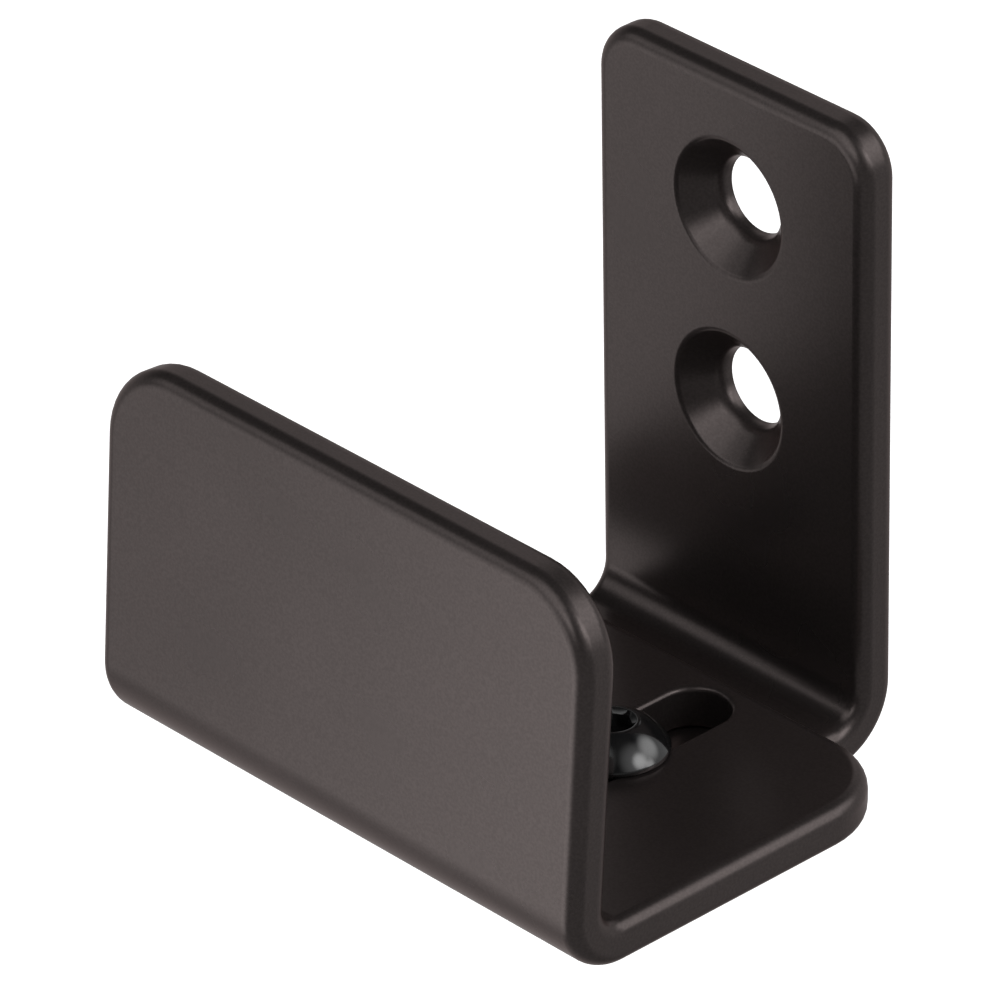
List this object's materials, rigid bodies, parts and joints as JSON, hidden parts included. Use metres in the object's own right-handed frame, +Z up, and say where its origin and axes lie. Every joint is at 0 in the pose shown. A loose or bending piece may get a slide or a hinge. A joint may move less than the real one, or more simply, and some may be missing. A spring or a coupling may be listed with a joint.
{
  "type": "adjustable wall hook bracket",
  "caption": "U-shaped wall bracket of bent plate: an upright with countersunk holes and a foot, and a lipped bracket clamped in slots to set the gap.",
  "frame": {"origin": "on the wall face of the upright, midway between the two wall holes", "axes": "+Y into the wall, square to the wall face; +Z up along the upright; +X to the right, seen from the room"},
  "size_m": [0.0572, 0.0493, 0.0586],
  "materials": {
    "bracket_coat": "satin dark bronze powder coat on bent steel plate",
    "screw_black": "gloss black on an alloy steel screw"
  },
  "bodies": {
    "wall_side": {"wall_bracket": "bracket_coat"},
    "front_slider": {"front_bracket": "bracket_coat"},
    "right_screw": {"clamp_screw_right": "screw_black"},
    "left_screw": {"clamp_screw_left": "screw_black"}
  },
  "joints": [
    {"name": "gap_slide", "type": "slide", "parent": "wall_side", "child": "front_slider", "axis": [0, -1, 0], "range_m": [-0.0045, 0.0092]},
    {"name": "right_screw_turn", "type": "hinge", "parent": "wall_side", "child": "right_screw", "pos_m": [0.009, -0.026, -0.0294], "axis": [0, 0, 1], "range_deg": [0, 360]},
    {"name": "left_screw_turn", "type": "hinge", "parent": "wall_side", "child": "left_screw", "pos_m": [-0.009, -0.026, -0.0294], "axis": [0, 0, 1], "range_deg": [0, 360]}
  ]
}
